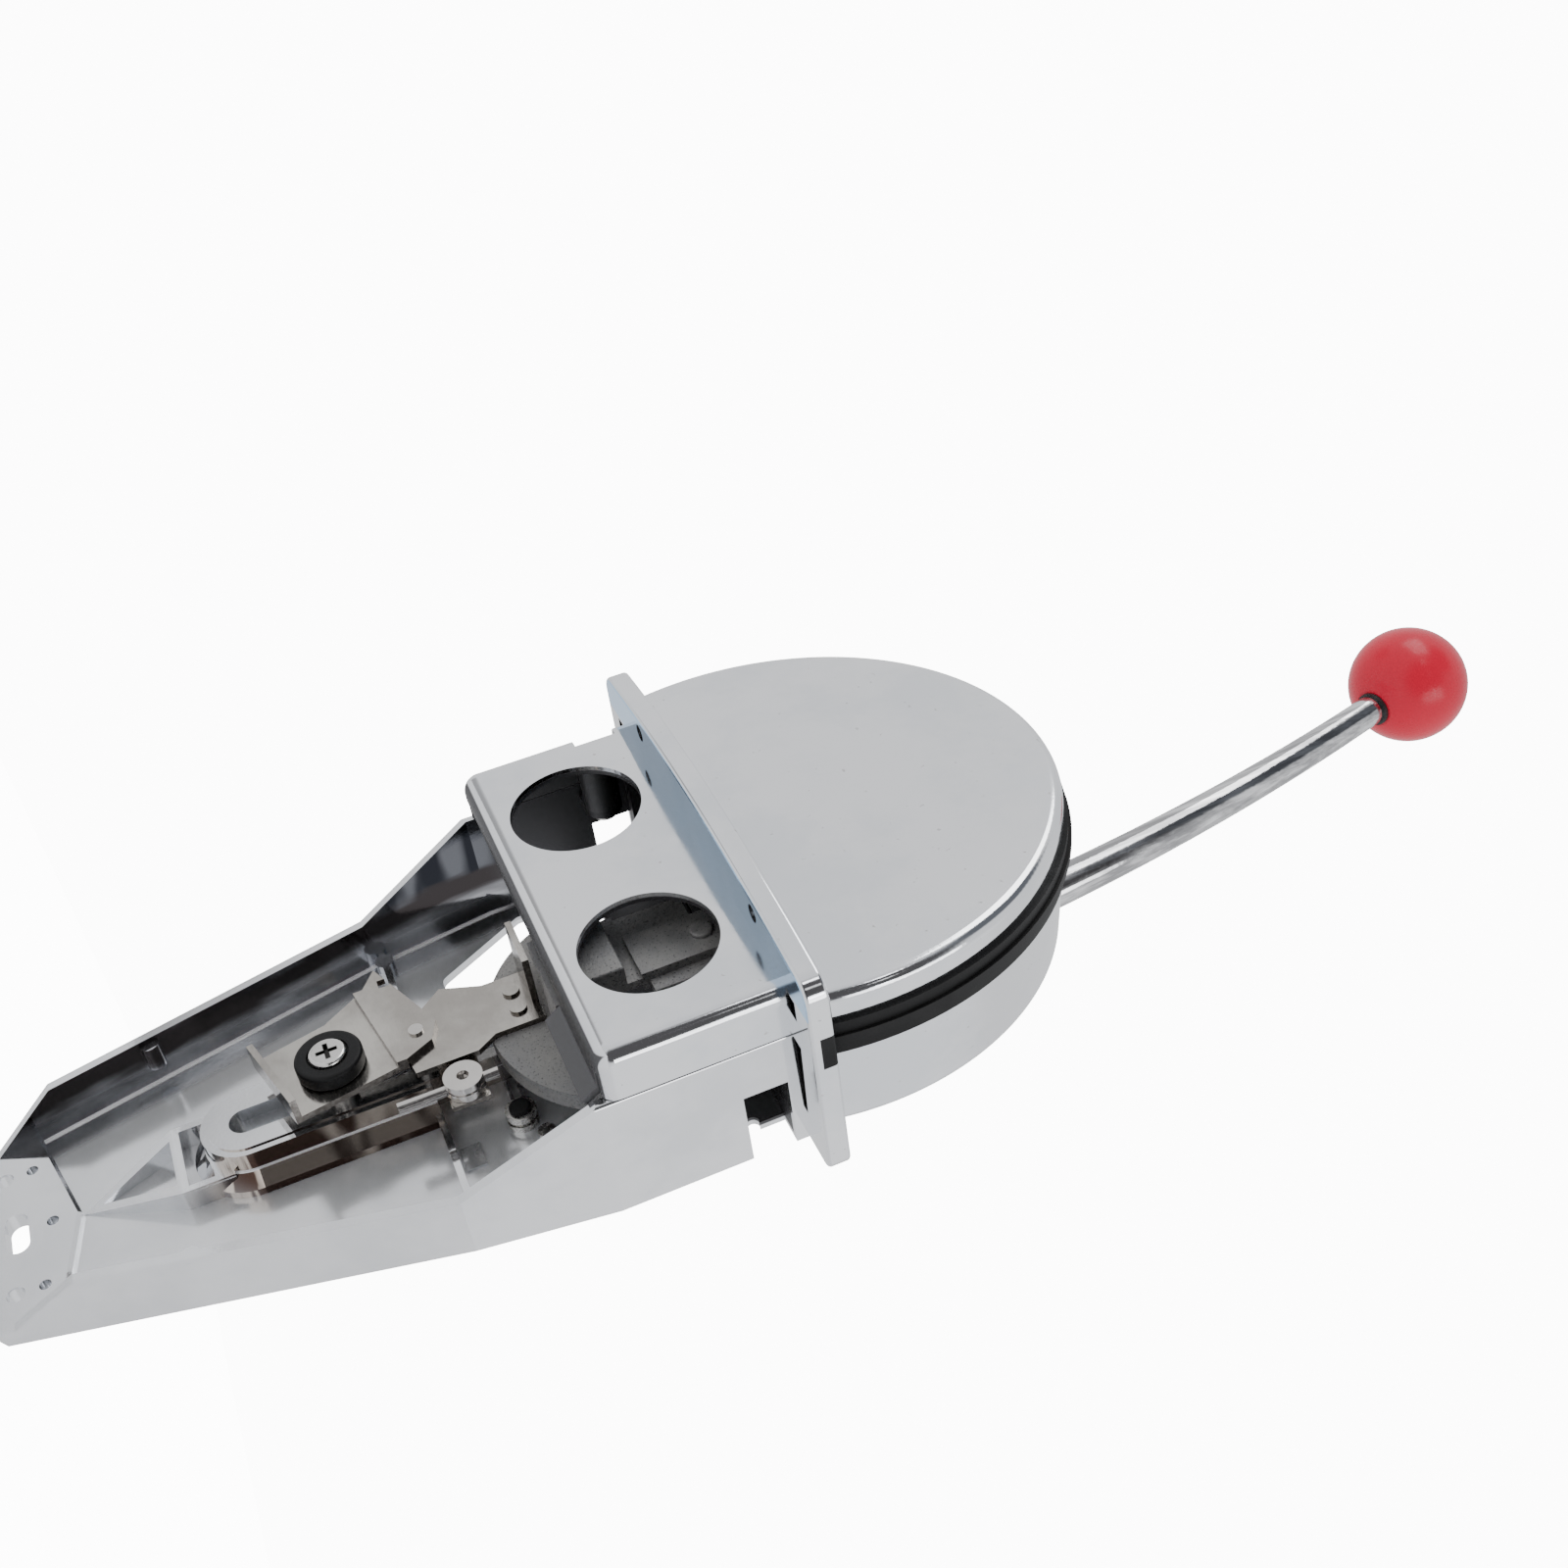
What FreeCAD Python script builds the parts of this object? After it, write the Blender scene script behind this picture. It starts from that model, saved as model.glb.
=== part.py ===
# Boat throttle control lever: half-oval housing on a deck flange, lever with a ball knob,
# and a cast frame below the deck with the slide that pulls the throttle cable.
# Frame: +Z up out of the deck, +X along the deck flange, the lever on the +Y side.
# Y is counted from the face of the housing cover while modelling. The finished pieces are then
# moved so that the origin is in the middle of the four deck screws, on the flange's underside.
import FreeCAD
import Part
import math
import os

V = FreeCAD.Vector

# Housing, mm
housing_half_width = 80.0
housing_half_height = 86.4
shaft_height = 25.0
cover_depth = 9.2
cover_wall = 3.0
cover_edge_round = 3.5
seal_depth = 11.3
seal_width = 4.5
seal_proud = 1.3
seal_ridge = 1.0
seal_ridge_width = 3.0
shell_depth = 31.5
shell_wall = 3.0
shell_taper = 2.3
shell_edge_round = 3.0
post_radius = 5.0
cover_screw_radius = 2.0
cover_screw_head_radius = 3.9
cover_screw_head_depth = 2.6

# Deck flange
flange_thickness = 7.0
flange_half_length = 83.5
flange_front_bow = 7.0
flange_front_end = 9.0
flange_back_overhang = 10.0
flange_front_corner = 8.0
flange_back_corner = 4.0
flange_edge_round = 1.2
flange_lip = 2.5
opening_half_width = 62.0
opening_back = 50.0
deck_hole_radius = 2.75
deck_hole_pitch = 94.0
deck_hole_inset = 5.0
front_deck_hole_row = -8.0

# Frame below the deck
frame_half_width = 69.5
frame_back = 60.5
frame_wall = 3.0
frame_edge_round = 1.3
frame_floor = 3.0
seam_depth = 18.0
shoulder_drop = 57.0
waist_drop = 98.0
waist_half_width = 63.5
low_wall_depth = 40.0
ramp_drop = 199.0
ramp_end_drop = 219.0
tail_drop = 231.5
tail_half_width = 32.0
tail_corner = 9.0
top_plate = 4.0
frame_screw_pitch = 30.0
frame_screw_head_radius = 3.3
frame_screw_head_height = 2.4
frame_screw_cover = 2.0
pad_rise = 2.5
pad_point_drop = 198.0
pad_side_drop = 206.3
pad_bevel = 1.0
pad_hole_radius = 2.6
pad_hole_pitch = 44.4
pad_hole_drop = 218.0
pad_slot_length = 15.0
pad_slot_width = 6.5
pad_slot_drop = 216.0
pad_tap_radius = 1.7
pad_tap_pitch = 45.0
pad_tap_drop = 210.0
pad_centre_tap_drop = 206.0
notch_drop = 17.3
notch_depth = 35.5
near_notch_reach = 9.0
far_notch_reach = 16.0
rib = 2.0
floor_window_left = 60.0
floor_window_drop = 80.0
cross_rib_drop = 95.0
cross_rib_rise = 4.0
bare_pad_left = 29.0
bare_pad_width = 9.0
bare_pad_height = 6.0
bare_pad_drop = 93.0
bare_pad_rise = 0.8
buttress_radius = 3.0
buttress_height = 10.5
stop_rib_drop = 73.5
stop_rib_pitch = 3.6

# Guide boss on the tray's floor
boss_half_width = 13.1
boss_top = 44.2
boss_centre_drop = 147.4
boss_end_drop = 94.3
boss_step = 0.5
boss_step_inset = 2.2
boss_foot = 4.4
boss_foot_height = 6.5
slot_half_width = 4.6
rail_half_width = 8.5
rail_top = 46.5
rail_end_drop = 68.5
web_top = 50.0
web_end_drop = 169.0

# Access cover
access_drop = 55.0
access_set_back = 1.0
access_wall = 3.0
access_overhang = 0.2
access_edge_round = 5.5
access_seam = 0.3
far_edge_notch = 6.3
far_edge_notch_drop = 17.7
access_lip = 7.5
skirt_start = 31.8
skirt_front = 14.0
skirt_depth = 17.5
skirt_drop = 60.0
skirt_clearance = 0.3
window_radius = 20.2
window_pitch = 67.2
window_drop = 27.0
access_post_radius = 6.0
access_post_pitch = 119.0
access_post_drop = 13.5
access_post_end = 22.5
lug_thickness = 2.5

# Lever
lever_plane = 78.0
lever_bend_radius = 907.0
lever_length = 268.0
rod_root_radius = 7.3
rod_tip_radius = 5.4
knob_radius = 21.3
knob_bore_depth = 14.0
knob_flat = 1.2
collar_width = 0.9
collar_length = 1.2
hub_radius = 16.0
hub_half_width = 12.0
hub_neck_radius = 11.5
socket_radius = 10.0
socket_length = 36.0
hub_cap_height = 5.0

# Shaft, crank and brake
shaft_radius = 7.0
shaft_clearance = 0.05
bush_wall = 3.0
front_bush_length = 6.0
back_bush_length = 9.0
bearing_wall = 4.0
bush_flange = 1.2
seal_washer = 1.6
hub_gap = 0.4
crank_radius = 38.0
crank_disc_radius = 26.0
crank_front = 24.0
crank_thickness = 6.0
crank_end_radius = 9.0
lever_swing = 40.0
crank_pin_radius = 4.0
roller_radius = 6.5
roller_width = 6.0
roller_clearance = 0.05
clip_thickness = 0.8
key_width = 3.0
brake_offset = 21.0
brake_pad_radius = 4.0
brake_pad_thickness = 4.0
brake_washer_count = 4
brake_washer_thickness = 0.8
brake_boss_wall = 2.5

# Slide
yoke_front = 10.5
yoke_thickness = 7.0
yoke_slot_play = 0.8
yoke_rim = 5.5
yoke_inner_x = 16.0
arm_left = 14.0
arm_block_left = 2.0
arm_right = 31.0
arm_front = 14.5
arm_thickness = 4.0
arm_step_drop = 30.3
arm_step_gap = 4.5
arm_block_front = 9.5
arm_block_end_drop = 51.0
arm_web = 5.0
yoke_rivet_drop = 9.0
arm_backing_left = 2.0
arm_backing_right = 36.0
arm_backing_thickness = 3.0
arm_backing_lift = 2.0
arm_backing_top_drop = 9.0
foot_x = 10.0
foot_drop = 30.6
foot_radius = 43.2
foot_top_drop = 45.0
foot_thickness = 6.0
plate_thickness = 2.0
link_front = 36.0
link_left = -11.0
link_neck_right = 10.7
link_right = 14.7
link_top_drop = 57.0
link_bottom_drop = 97.5
link_riser_height = 17.0
link_riser_right = 4.0
link_step_drop = 72.4
link_step_end_drop = 78.6
link_far_drop = 71.0
link_far_end_drop = 83.0
link_bulge = 5.0
link_skew = 2.0
link_rivet_drop = 63.5
link_rivet_pitch = 8.0
link_rivet_radius = 2.6
bracket_jog = 2.0
bracket_tab_height = 7.0
bracket_tab_length = 1.9
bracket_toe_left = 13.3
bracket_toe_left_drop = 138.5
bracket_toe_right = 15.0
bracket_toe_right_drop = 131.0
bracket_near = 9.8
bracket_near_drop = 101.5
bracket_far = 25.0
bracket_far_drop = 107.3
bracket_waist = 18.0
bracket_waist_drop = 118.0
bracket_bend_rise = 3.0
bracket_shoulder = 5.5
bracket_shoulder_drop = 90.0
bracket_top_left = 1.7
bracket_top_drop = 87.1
bracket_ear = 31.9
bracket_ear_drop = 99.3
bracket_hole_side = 3.4
bracket_hole_x = 24.8
bracket_hole_drop = 97.8
guide_pin_stem_radius = 2.2
bush_drop = 119.2
guide_bush_radius = 10.0
guide_bush_thickness = 5.4
guide_screw_shank = 2.5
guide_screw_head_radius = 5.6
guide_screw_head_height = 2.2
guide_clearance = 0.1
guide_tip_gap = 1.5
guide_pin_drop = 93.5
trunnion_x = 21.4
trunnion_drop = 85.5
trunnion_radius = 5.8
trunnion_journal_radius = 2.4
trunnion_clearance = 0.05
trunnion_front = 36.5
trunnion_foot_front = 42.0
trunnion_foot = 1.6
cable_rod_radius = 1.7
cable_rod_up = 10.0
cable_rod_down = 20.0
trunnion_relief = 1.0

# Stop post on the tray's floor
stop_x = 27.0
stop_drop = 73.0
stop_radius = 4.6
stop_height = 5.5
stop_buffer_radius = 3.2
stop_buffer_height = 1.5
floor_screw_x = 35.0
floor_screw_drop = 68.0
floor_screw_radius = 2.6
floor_screw_height = 1.8

# Values worked out from the above
far = 400.0
seal_back = cover_depth + seal_depth
shell_back = seal_back + shell_depth
flange_back = shell_back + flange_back_overhang
flange_front = flange_front_end + flange_front_bow
back_deck_hole_row = flange_back - deck_hole_inset
floor_top = frame_back - frame_floor
pad_top = floor_top - pad_rise
guide_radius = slot_half_width - guide_clearance
guide_depth = floor_top - guide_tip_gap
slide_travel = crank_radius * math.sin(math.radians(lever_swing)) + 0.4
crank_back = crank_front + crank_thickness
yoke_back = yoke_front + yoke_thickness
link_back = link_front + plate_thickness
foot_back = link_back + foot_thickness
bracket_low_front = link_front - plate_thickness + bracket_jog
bracket_low_back = bracket_low_front + plate_thickness
bearing_radius = shaft_radius + bush_wall
bearing_outer = bearing_radius + bearing_wall
seal_face = shell_back + bush_flange
hub_neck_front = seal_face + seal_washer + hub_gap
hub_front = lever_plane - hub_half_width
hub_back = lever_plane + hub_half_width
post_places = [(60.0, 44.0), (33.0, 88.0)]


def box(x0, x1, y0, y1, z0, z1):
    return Part.makeBox(x1 - x0, y1 - y0, z1 - z0, V(x0, y0, z0))


def cyl_y(x, z, radius, y0, y1):
    return Part.makeCylinder(radius, y1 - y0, V(x, y0, z), V(0, 1, 0))


def cyl_z(x, y, radius, z0, z1):
    return Part.makeCylinder(radius, z1 - z0, V(x, y, z0), V(0, 0, 1))


def cyl_x(y, z, radius, x0, x1):
    return Part.makeCylinder(radius, x1 - x0, V(x0, y, z), V(1, 0, 0))


def ring_y(x, z, inner, outer, y0, y1):
    return cyl_y(x, z, outer, y0, y1).cut(cyl_y(x, z, inner, y0, y1))


def prism_y(points, y0, y1):
    corners = [V(x, y0, z) for x, z in points]
    return Part.Face(Part.makePolygon(corners + corners[:1])).extrude(V(0, y1 - y0, 0))


def prism_x(points, x0, x1):
    corners = [V(x0, y, z) for y, z in points]
    return Part.Face(Part.makePolygon(corners + corners[:1])).extrude(V(x1 - x0, 0, 0))


def both_sides(shape):
    return shape.fuse(shape.mirror(V(0, 0, 0), V(1, 0, 0)))


def group(shapes):
    return Part.makeCompound(shapes)


def oval_wire(inset, y):
    half_width = housing_half_width - inset
    half_height = housing_half_height - inset
    centre = V(0, y, shaft_height)
    top = V(0, y, shaft_height + half_height)
    side = V(half_width, y, shaft_height)
    if half_height >= half_width:
        return Part.Wire(Part.Ellipse(top, side, centre).toShape())
    return Part.Wire(Part.Ellipse(side, top, centre).toShape())


def oval(inset, y0, y1, back_inset=None):
    if back_inset is None:
        return Part.Face(oval_wire(inset, y0)).extrude(V(0, y1 - y0, 0))
    return Part.makeLoft([oval_wire(inset, y0), oval_wire(back_inset, y1)], True, True)


def above_flange(shape, floor=flange_thickness):
    return shape.common(box(-far, far, -far, far, floor, far))


def flange_plate():
    end = flange_half_length
    front_end = -flange_front_end
    left = V(-end, front_end, 0)
    right = V(end, front_end, 0)
    bow = Part.Arc(left, V(0, -flange_front, 0), right).toShape()
    sides = Part.makePolygon([right, V(end, flange_back, 0), V(-end, flange_back, 0), left])
    plate = Part.Face(Part.Wire([bow] + sides.Edges)).extrude(V(0, 0, flange_thickness))
    uprights = [e for e in plate.Edges if abs(e.BoundBox.ZLength - flange_thickness) < 1e-6]
    front = [e for e in uprights if e.BoundBox.YMax < 0]
    back = [e for e in uprights if e.BoundBox.YMin > 0]
    plate = plate.makeFillet(flange_front_corner, front)
    back = [e for e in plate.Edges
            if abs(e.BoundBox.ZLength - flange_thickness) < 1e-6 and e.BoundBox.YMin > flange_back - 1e-3]
    plate = plate.makeFillet(flange_back_corner, back)
    edges = [e for e in plate.Edges if e.BoundBox.YMax < cover_depth - 1 and e.BoundBox.ZLength < 1e-6]
    plate = plate.makeFillet(flange_edge_round, edges)
    holes = [cyl_z(side * deck_hole_pitch / 2, y, deck_hole_radius, -1, flange_thickness + 1)
             for side in (-1, 1) for y in (front_deck_hole_row, back_deck_hole_row)]
    return plate.cut(holes)


def flange_opening():
    return box(-opening_half_width, opening_half_width, cover_wall, opening_back, -1, flange_thickness + 1)


def post_set(y0, y1, radius):
    posts = [cyl_y(x, z, radius, y0, y1) for x, z in post_places]
    posts += [cyl_y(-x, z, radius, y0, y1) for x, z in post_places]
    return posts


def housing_cover():
    dome = oval(0, 0, cover_depth)
    front_edge = [e for e in dome.Edges if e.BoundBox.YMax < 1e-6]
    dome = above_flange(dome.makeFillet(cover_edge_round, front_edge), 0)
    hollow = above_flange(oval(cover_wall, cover_wall, cover_depth + 1), 0)
    plate = flange_plate()
    upper = plate.common(box(-far, far, -far, cover_depth, -1, far))
    lip = plate.common(box(-far, far, cover_depth, seal_back, -1, flange_lip))
    shape = dome.fuse([upper, lip])
    shape = shape.cut([hollow, flange_opening()])
    shape = shape.fuse(post_set(cover_wall, seal_back, post_radius))
    shape = shape.fuse(cyl_y(0, shaft_height, bearing_outer, cover_wall, cover_wall + front_bush_length))
    shape = shape.cut(cyl_y(0, shaft_height, bearing_radius, cover_wall, far))
    shape = shape.cut(post_set(cover_wall + 2, seal_back + 1, cover_screw_radius))
    return shape


def rim_seal():
    band = above_flange(oval(-seal_proud, cover_depth, seal_back))
    middle = (cover_depth + seal_back) / 2
    half = seal_ridge_width / 2
    ridge = above_flange(oval(-seal_proud - seal_ridge, middle - half, middle + half))
    inner = above_flange(oval(seal_width, cover_depth - 1, seal_back + 1), 0)
    feet = flange_plate().common(box(-far, far, cover_depth, seal_back, flange_lip, flange_thickness))
    ring = band.fuse([ridge, feet]).cut([inner, flange_opening()])
    return ring.cut(box(-opening_half_width, opening_half_width, 0, far, 0, flange_thickness))


def housing_shell():
    outer = oval(0, seal_back, shell_back, shell_taper)
    back_edge = [e for e in outer.Edges if e.BoundBox.YMin > shell_back - 1e-6]
    outer = above_flange(outer.makeFillet(shell_edge_round, back_edge), 0)
    inner_back = shell_back - shell_wall
    inner = above_flange(oval(shell_wall, seal_back - 1, inner_back, shell_taper + shell_wall), 0)
    lower = flange_plate().common(box(-far, far, seal_back, far, -1, far))
    shape = outer.fuse(lower).cut([inner, flange_opening()])
    shape = shape.fuse(post_set(seal_back, inner_back, post_radius))
    shape = shape.fuse(cyl_y(0, shaft_height, bearing_outer, shell_back - back_bush_length, shell_back))
    brake_boss = cyl_y(-brake_offset, shaft_height, brake_pad_radius + brake_boss_wall,
                       crank_back + brake_pad_thickness / 2, shell_back)
    shape = shape.fuse(brake_boss)
    bores = [cyl_y(0, shaft_height, bearing_radius, 0, far)]
    bores.append(cyl_y(-brake_offset, shaft_height, brake_pad_radius + shaft_clearance, 0, far))
    bores += post_set(seal_back - 1, far, cover_screw_radius)
    bores += post_set(shell_back - cover_screw_head_depth, far, cover_screw_head_radius)
    for x, y in frame_screw_places():
        bores.append(cyl_z(x, y, cover_screw_radius, -1, flange_thickness - frame_screw_cover))
    return shape.cut(bores)


def frame_screw_places():
    back = (opening_back + floor_top) / 2
    return [(-frame_screw_pitch, back), (0, back), (frame_screw_pitch, back)]


def cover_screws():
    head_start = shell_back - cover_screw_head_depth
    screws = []
    for x, z in post_places + [(-x, z) for x, z in post_places]:
        head = cyl_y(x, z, cover_screw_head_radius - 0.2, head_start, shell_back - 0.4)
        slot = box(x - 0.5, x + 0.5, shell_back - 1.4, shell_back, z - 3, z + 3)
        shank = cyl_y(x, z, cover_screw_radius, cover_wall + 4, head_start)
        screws.append(head.cut(slot).fuse(shank))
    return group(screws)


def half_width_at(drop):
    if drop <= shoulder_drop:
        return frame_half_width
    if drop <= waist_drop:
        share = (drop - shoulder_drop) / (waist_drop - shoulder_drop)
        return frame_half_width + share * (waist_half_width - frame_half_width)
    share = (drop - waist_drop) / (tail_drop - waist_drop)
    return waist_half_width + share * (tail_half_width - waist_half_width)


def tray_outline(inset, top, bottom):
    drops = [top] + [d for d in (shoulder_drop, waist_drop) if d > top] + [bottom]
    right = [(half_width_at(d) - inset, -d) for d in drops]
    left = [(-x, z) for x, z in reversed(right)]
    return right + left


def guide_boss():
    end = -boss_end_drop
    centre = -boss_centre_drop
    rim_top = boss_top + boss_step
    boss = box(-boss_half_width, boss_half_width, rim_top, floor_top, centre, end)
    boss = boss.fuse(cyl_y(0, centre, boss_half_width, rim_top, floor_top))
    step_half = boss_half_width - boss_step_inset
    step = box(-step_half, step_half, boss_top, floor_top, centre, end)
    boss = boss.fuse([step, cyl_y(0, centre, step_half, boss_top, floor_top)])
    foot_half = boss_half_width + boss_foot
    foot_front = floor_top - boss_foot_height
    foot = box(-foot_half, foot_half, foot_front, floor_top, centre, end)
    foot = foot.fuse(cyl_y(0, centre, foot_half, foot_front, floor_top)).removeSplitter()
    rim = [e for e in foot.Edges if e.BoundBox.YMax < foot_front + 1e-3 and e.BoundBox.ZMin < end - 1e-3]
    foot = foot.makeChamfer(boss_foot - 0.4, rim)
    rails = box(-rail_half_width, rail_half_width, rail_top, floor_top, end, -rail_end_drop)
    slot = box(-slot_half_width, slot_half_width, 0, floor_top, centre, 0)
    slot = slot.fuse(cyl_y(0, centre, slot_half_width, 0, floor_top))
    return boss.fuse([foot, rails]).cut(slot)


def web_before_boss():
    apex = -pad_point_drop
    wide = -web_end_drop
    side_view = prism_x([(floor_top, apex), (web_top, wide), (floor_top, wide)], -far, far)
    plan = prism_y([(0, apex), (boss_half_width, wide), (-boss_half_width, wide)], 0, floor_top)
    wedge = side_view.common(plan)
    back = -boss_centre_drop - boss_half_width / 2
    bridge = box(-boss_half_width, boss_half_width, web_top, floor_top, wide, back)
    pocket = prism_y([(0, apex + 3 * rib), (boss_half_width - 2 * rib, wide - rib / 2),
                      (-boss_half_width + 2 * rib, wide - rib / 2)], 0, floor_top)
    cell = box(-boss_half_width + rib, boss_half_width - rib, 0, floor_top,
               wide + rib, -boss_centre_drop - boss_half_width + rib / 2)
    return wedge.fuse(bridge).cut([pocket, cell])


def end_pad():
    inner = half_width_at(pad_side_drop) - frame_wall
    tail_inner = half_width_at(tail_drop) - frame_wall
    points = [(0, -pad_point_drop), (inner, -pad_side_drop), (tail_inner, -tail_drop),
              (-tail_inner, -tail_drop), (-inner, -pad_side_drop)]
    pad = prism_y(points, pad_top, floor_top)
    step = [e for e in pad.Edges
            if e.BoundBox.YMax < pad_top + 1e-6 and e.BoundBox.ZMin > -pad_side_drop - 1e-3]
    return pad.makeChamfer(pad_bevel, step)


def tray_holes():
    holes = []
    for side in (-1, 1):
        holes.append(cyl_y(side * pad_hole_pitch / 2, -pad_hole_drop, pad_hole_radius, 0, far))
        holes.append(cyl_y(side * pad_tap_pitch / 2, -pad_tap_drop, pad_tap_radius, 0, frame_back - 1))
    holes.append(cyl_y(0, -pad_centre_tap_drop, pad_tap_radius, 0, frame_back - 1))
    reach = (pad_slot_length - pad_slot_width) / 2
    holes.append(box(-reach, reach, 0, far, -pad_slot_drop - pad_slot_width / 2,
                     -pad_slot_drop + pad_slot_width / 2))
    holes += [cyl_y(side * reach, -pad_slot_drop, pad_slot_width / 2, 0, far) for side in (-1, 1)]
    window = prism_y([(-floor_window_left, -24), (-floor_window_left, -50), (-43, -floor_window_drop),
                      (-34, -floor_window_drop), (-22, -60), (-22, -24)], floor_top - 1, far)
    corners = [e for e in window.Edges if e.BoundBox.YLength > frame_floor]
    holes.append(window.makeFillet(3.0, corners))
    return holes


def frame_tray():
    outer = prism_y(tray_outline(0, 0, tail_drop), seam_depth, frame_back)
    corners = [e for e in outer.Edges
               if e.BoundBox.YLength > 1 and e.BoundBox.ZMax < -tail_drop + 1e-3]
    outer = outer.makeChamfer(tail_corner, corners)
    rims = [e for e in outer.Edges
            if e.BoundBox.YMax < seam_depth + 1e-3 and e.BoundBox.XLength < 1e-3 and e.BoundBox.ZMax > -1]
    outer = outer.makeFillet(frame_edge_round, rims)
    inner = prism_y(tray_outline(frame_wall, top_plate, tail_drop + 5), seam_depth - 1, floor_top)
    shape = outer.cut(inner)
    shape = shape.cut(box(-opening_half_width, opening_half_width, 0, opening_back, -top_plate - 1, 1))
    side_view = [(seam_depth, -shoulder_drop), (low_wall_depth, -waist_drop), (low_wall_depth, -ramp_drop),
                 (pad_top, -ramp_end_drop), (pad_top, -far), (-far, -far), (-far, -shoulder_drop)]
    shape = shape.cut(prism_x(side_view, -far, far))
    ribs = both_sides(box(boss_half_width, half_width_at(cross_rib_drop) - frame_wall,
                          floor_top - cross_rib_rise, floor_top,
                          -cross_rib_drop - rib / 2, -cross_rib_drop + rib / 2))
    wall_x = half_width_at(web_end_drop) - frame_wall
    buttress = both_sides(cyl_y(wall_x, -web_end_drop, buttress_radius, low_wall_depth + rib,
                                low_wall_depth + buttress_height))
    bare_pad = box(bare_pad_left, bare_pad_left + bare_pad_width, floor_top - bare_pad_rise, floor_top,
                   -bare_pad_drop, -bare_pad_drop + bare_pad_height)
    ejector = cyl_y(-57, -cross_rib_drop, 3, floor_top - cross_rib_rise, floor_top)
    shape = shape.fuse([guide_boss(), web_before_boss(), end_pad(), ribs, buttress, bare_pad, ejector])
    lug_x = access_post_pitch / 2
    lug_back = access_post_end + lug_thickness
    lug = both_sides(box(lug_x, frame_half_width - frame_wall, access_post_end, lug_back,
                         -access_post_drop - access_post_radius, -access_post_drop + access_post_radius))
    lug_round = both_sides(cyl_y(lug_x, -access_post_drop, access_post_radius, access_post_end, lug_back))
    stop_ribs = [box(rail_half_width, stop_x - stop_radius - 0.5, floor_top - 3, floor_top, -drop - 1, -drop)
                 for drop in (stop_rib_drop, stop_rib_drop - stop_rib_pitch)]
    shape = shape.fuse([lug, lug_round] + stop_ribs)
    cuts = [box(frame_half_width - near_notch_reach, frame_half_width + 1, notch_depth, far,
                -notch_drop, -top_plate),
            box(-frame_half_width - 1, -frame_half_width + far_notch_reach, notch_depth, far,
                -notch_drop, -top_plate)]
    cuts += tray_holes()
    cuts += [cyl_y(side * lug_x, -access_post_drop, cover_screw_radius, 0, far) for side in (-1, 1)]
    cuts += [cyl_z(x, y, cover_screw_radius, -top_plate - 1, 1) for x, y in frame_screw_places()]
    return shape.cut(cuts).removeSplitter()


def access_cover():
    front = access_set_back
    half = frame_half_width + access_overhang
    back = seam_depth - access_seam
    block = box(-half, half, front, back, -access_drop, 0)
    upright = [e for e in block.Edges
               if e.BoundBox.YLength > 1 and e.BoundBox.ZMax < -access_drop + 1e-3]
    block = block.makeFillet(access_edge_round, upright)
    face_edges = [e for e in block.Edges if e.BoundBox.YMax < front + 1e-3 and e.BoundBox.ZMin < -1e-3]
    block = block.makeFillet(access_edge_round - 0.3, face_edges)
    wall = access_wall
    inner = frame_half_width - frame_wall
    block = block.cut(box(-inner, inner, front + wall, far, -access_drop + wall, 1))
    block = block.cut(box(-inner, inner, front + access_lip, far, -access_drop - 1, 1))
    lip_back = front + access_lip
    skirt = prism_x([(lip_back - 1.5, -access_drop), (skirt_front, -access_drop), (skirt_depth, -skirt_drop),
                     (skirt_depth + 1.5, -skirt_drop + wall / 2), (skirt_front + 1, -access_drop + wall),
                     (lip_back - 1.5, -access_drop + wall)], skirt_start,
                    half_width_at(skirt_drop) - frame_wall - skirt_clearance)
    post_x = access_post_pitch / 2
    posts = [cyl_y(side * post_x, -access_post_drop, access_post_radius, front + wall / 2, access_post_end)
             for side in (-1, 1)]
    block = block.fuse([skirt] + posts)
    cuts = [cyl_y(side * window_pitch / 2, -window_drop, window_radius, -1, front + wall + 1)
            for side in (-1, 1)]
    cuts += [cyl_y(side * post_x, -access_post_drop, cover_screw_radius, front + wall + 4, far)
             for side in (-1, 1)]
    edge_notch = box(-half - 1, -half + far_edge_notch, 0, far, -far_edge_notch_drop, -top_plate)
    return block.cut(cuts + [edge_notch]).removeSplitter()


def access_cover_screws():
    screws = []
    back = access_post_end + lug_thickness
    for side in (-1, 1):
        x = side * access_post_pitch / 2
        head = cyl_y(x, -access_post_drop, cover_screw_head_radius, back, back + 2.4)
        slot = box(x - 3, x + 3, back + 1.5, far, -access_post_drop - 0.5, -access_post_drop + 0.5)
        shank = cyl_y(x, -access_post_drop, cover_screw_radius, access_set_back + access_wall + 5, back)
        screws.append(head.cut(slot).fuse(shank))
    return group(screws)


def frame_screws():
    screws = []
    for x, y in frame_screw_places():
        head = cyl_z(x, y, frame_screw_head_radius, -top_plate - frame_screw_head_height, -top_plate)
        shank = cyl_z(x, y, cover_screw_radius, -top_plate, flange_thickness - frame_screw_cover)
        screws.append(head.fuse(shank))
    return group(screws)


def front_shaft_bush():
    return ring_y(0, shaft_height, shaft_radius + shaft_clearance, bearing_radius,
                  cover_wall, cover_wall + front_bush_length)


def back_shaft_bush():
    sleeve = ring_y(0, shaft_height, shaft_radius + shaft_clearance, bearing_radius,
                    shell_back - back_bush_length, shell_back)
    rim = ring_y(0, shaft_height, shaft_radius + shaft_clearance, bearing_radius + bush_flange,
                 shell_back, seal_face)
    return sleeve.fuse(rim).removeSplitter()


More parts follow.
